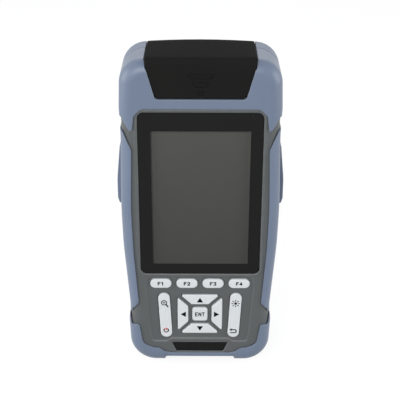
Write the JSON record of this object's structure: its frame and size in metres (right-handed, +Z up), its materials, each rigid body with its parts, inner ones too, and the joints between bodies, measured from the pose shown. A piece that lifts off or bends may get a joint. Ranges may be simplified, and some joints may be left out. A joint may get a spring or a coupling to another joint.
{
  "type": "optical time domain reflectometer",
  "caption": "Handheld fibre test instrument with a colour display, a keypad with arrow keys and rockers, rubber corners, side port covers and a flip lid over its fibre ports.",
  "frame": {"origin": "on the floor under the middle of the instrument, which stands on its bottom corner feet", "axes": "+Z up along the instrument's length, +X to the right as the screen is read, the screen faces -Y"},
  "size_m": [0.0864, 0.038, 0.1716],
  "materials": {
    "grey_case": "fine-grained dark grey moulding",
    "blue_skin": "satin slate-blue overmoulded rubber",
    "blue_case": "satin slate-blue moulding",
    "black_plastic": "satin black moulding",
    "black_rubber": "matt black rubber",
    "key_white": "light grey keycap with printed legend",
    "lens_glass": "clear window with black printed border",
    "lcd": "unlit display",
    "steel": "zinc-plated or stainless steel",
    "nickel_brass": "nickel-plated brass",
    "zirconia": "polished white ceramic",
    "alloy": "bare aluminium",
    "board": "green glass-fibre board",
    "cell_wrap": "shrink-wrapped cell",
    "name_black": "bare black inlay"
  },
  "bodies": {
    "instrument": {"front_case": "grey_case", "front_hood": "blue_skin", "left_grip": "blue_skin", "right_grip": "blue_skin", "bottom_boot": "blue_skin", "nameplate": "name_black", "rear_case": "blue_case", "case_seal": "black_rubber", "case_screws": "steel", "battery_door": "grey_case", "door_screws": "steel", "battery_tray": "black_plastic", "battery_cells": "cell_wrap", "display_lens": "lens_glass", "lens_gasket": "black_rubber", "light_sensor": "black_plastic", "lcd_panel": "lcd", "lcd_bracket": "steel", "main_board": "board", "board_screws": "steel", "shield_can": "steel", "buzzer": "black_plastic", "keypad_board": "board", "keypad_mat": "black_rubber", "lid_hinge_pin": "steel", "port_deck": "black_plastic", "optical_module": "alloy", "power_detector": "steel", "vfl_laser": "nickel_brass", "left_io_board": "board", "right_io_board": "board", "otdr_port": "nickel_brass", "otdr_sleeve": "zirconia", "opm_port": "nickel_brass", "opm_sleeve": "zirconia", "vfl_port": "nickel_brass", "vfl_sleeve": "zirconia", "charge_socket": "steel", "data_socket": "steel", "card_socket": "steel"},
    "lid": {"flip_lid": "black_plastic"},
    "left_cover": {"left_port_cover": "blue_skin"},
    "right_cover": {"right_port_cover": "blue_skin"},
    "left_rocker_key": {"left_rocker": "key_white"},
    "right_rocker_key": {"right_rocker": "key_white"},
    "f1_key": {"key_f1": "key_white"},
    "f2_key": {"key_f2": "key_white"},
    "f3_key": {"key_f3": "key_white"},
    "f4_key": {"key_f4": "key_white"},
    "up_key": {"key_up": "key_white"},
    "down_key": {"key_down": "key_white"},
    "left_key": {"key_left": "key_white"},
    "right_key": {"key_right": "key_white"},
    "enter_key": {"key_enter": "key_white"}
  },
  "joints": [
    {"name": "lid_flip", "type": "hinge", "parent": "instrument", "child": "lid", "pos_m": [0, 0.011, 0.1636], "axis": [-1, 0, 0], "range_deg": [0, 105]},
    {"name": "left_cover_flap", "type": "hinge", "parent": "instrument", "child": "left_cover", "pos_m": [-0.04085, 0.0085, 0.1158], "axis": [0, 1, 0], "range_deg": [0, 100], "stiffness_Nm_per_rad": 0.004},
    {"name": "right_cover_flap", "type": "hinge", "parent": "instrument", "child": "right_cover", "pos_m": [0.04085, 0.0085, 0.1158], "axis": [0, -1, 0], "range_deg": [0, 100], "stiffness_Nm_per_rad": 0.004},
    {"name": "left_rocker_tilt", "type": "hinge", "parent": "instrument", "child": "left_rocker_key", "pos_m": [-0.01835, -0.0147, 0.0301], "axis": [0.9986, 0, 0.0523], "range_deg": [-2.5, 2.5], "stiffness_Nm_per_rad": 0.2},
    {"name": "right_rocker_tilt", "type": "hinge", "parent": "instrument", "child": "right_rocker_key", "pos_m": [0.01835, -0.0147, 0.0301], "axis": [0.9986, 0, -0.0523], "range_deg": [-2.5, 2.5], "stiffness_Nm_per_rad": 0.2},
    {"name": "f1_key_press", "type": "slide", "parent": "instrument", "child": "f1_key", "axis": [0, 1, 0], "range_m": [0, 0.0006], "stiffness_N_per_m": 1500},
    {"name": "f2_key_press", "type": "slide", "parent": "instrument", "child": "f2_key", "axis": [0, 1, 0], "range_m": [0, 0.0006], "stiffness_N_per_m": 1500},
    {"name": "f3_key_press", "type": "slide", "parent": "instrument", "child": "f3_key", "axis": [0, 1, 0], "range_m": [0, 0.0006], "stiffness_N_per_m": 1500},
    {"name": "f4_key_press", "type": "slide", "parent": "instrument", "child": "f4_key", "axis": [0, 1, 0], "range_m": [0, 0.0006], "stiffness_N_per_m": 1500},
    {"name": "up_key_press", "type": "slide", "parent": "instrument", "child": "up_key", "axis": [0, 1, 0], "range_m": [0, 0.0006], "stiffness_N_per_m": 1500},
    {"name": "down_key_press", "type": "slide", "parent": "instrument", "child": "down_key", "axis": [0, 1, 0], "range_m": [0, 0.0006], "stiffness_N_per_m": 1500},
    {"name": "left_key_press", "type": "slide", "parent": "instrument", "child": "left_key", "axis": [0, 1, 0], "range_m": [0, 0.0006], "stiffness_N_per_m": 1500},
    {"name": "right_key_press", "type": "slide", "parent": "instrument", "child": "right_key", "axis": [0, 1, 0], "range_m": [0, 0.0006], "stiffness_N_per_m": 1500},
    {"name": "enter_key_press", "type": "slide", "parent": "instrument", "child": "enter_key", "axis": [0, 1, 0], "range_m": [0, 0.0006], "stiffness_N_per_m": 1500}
  ]
}
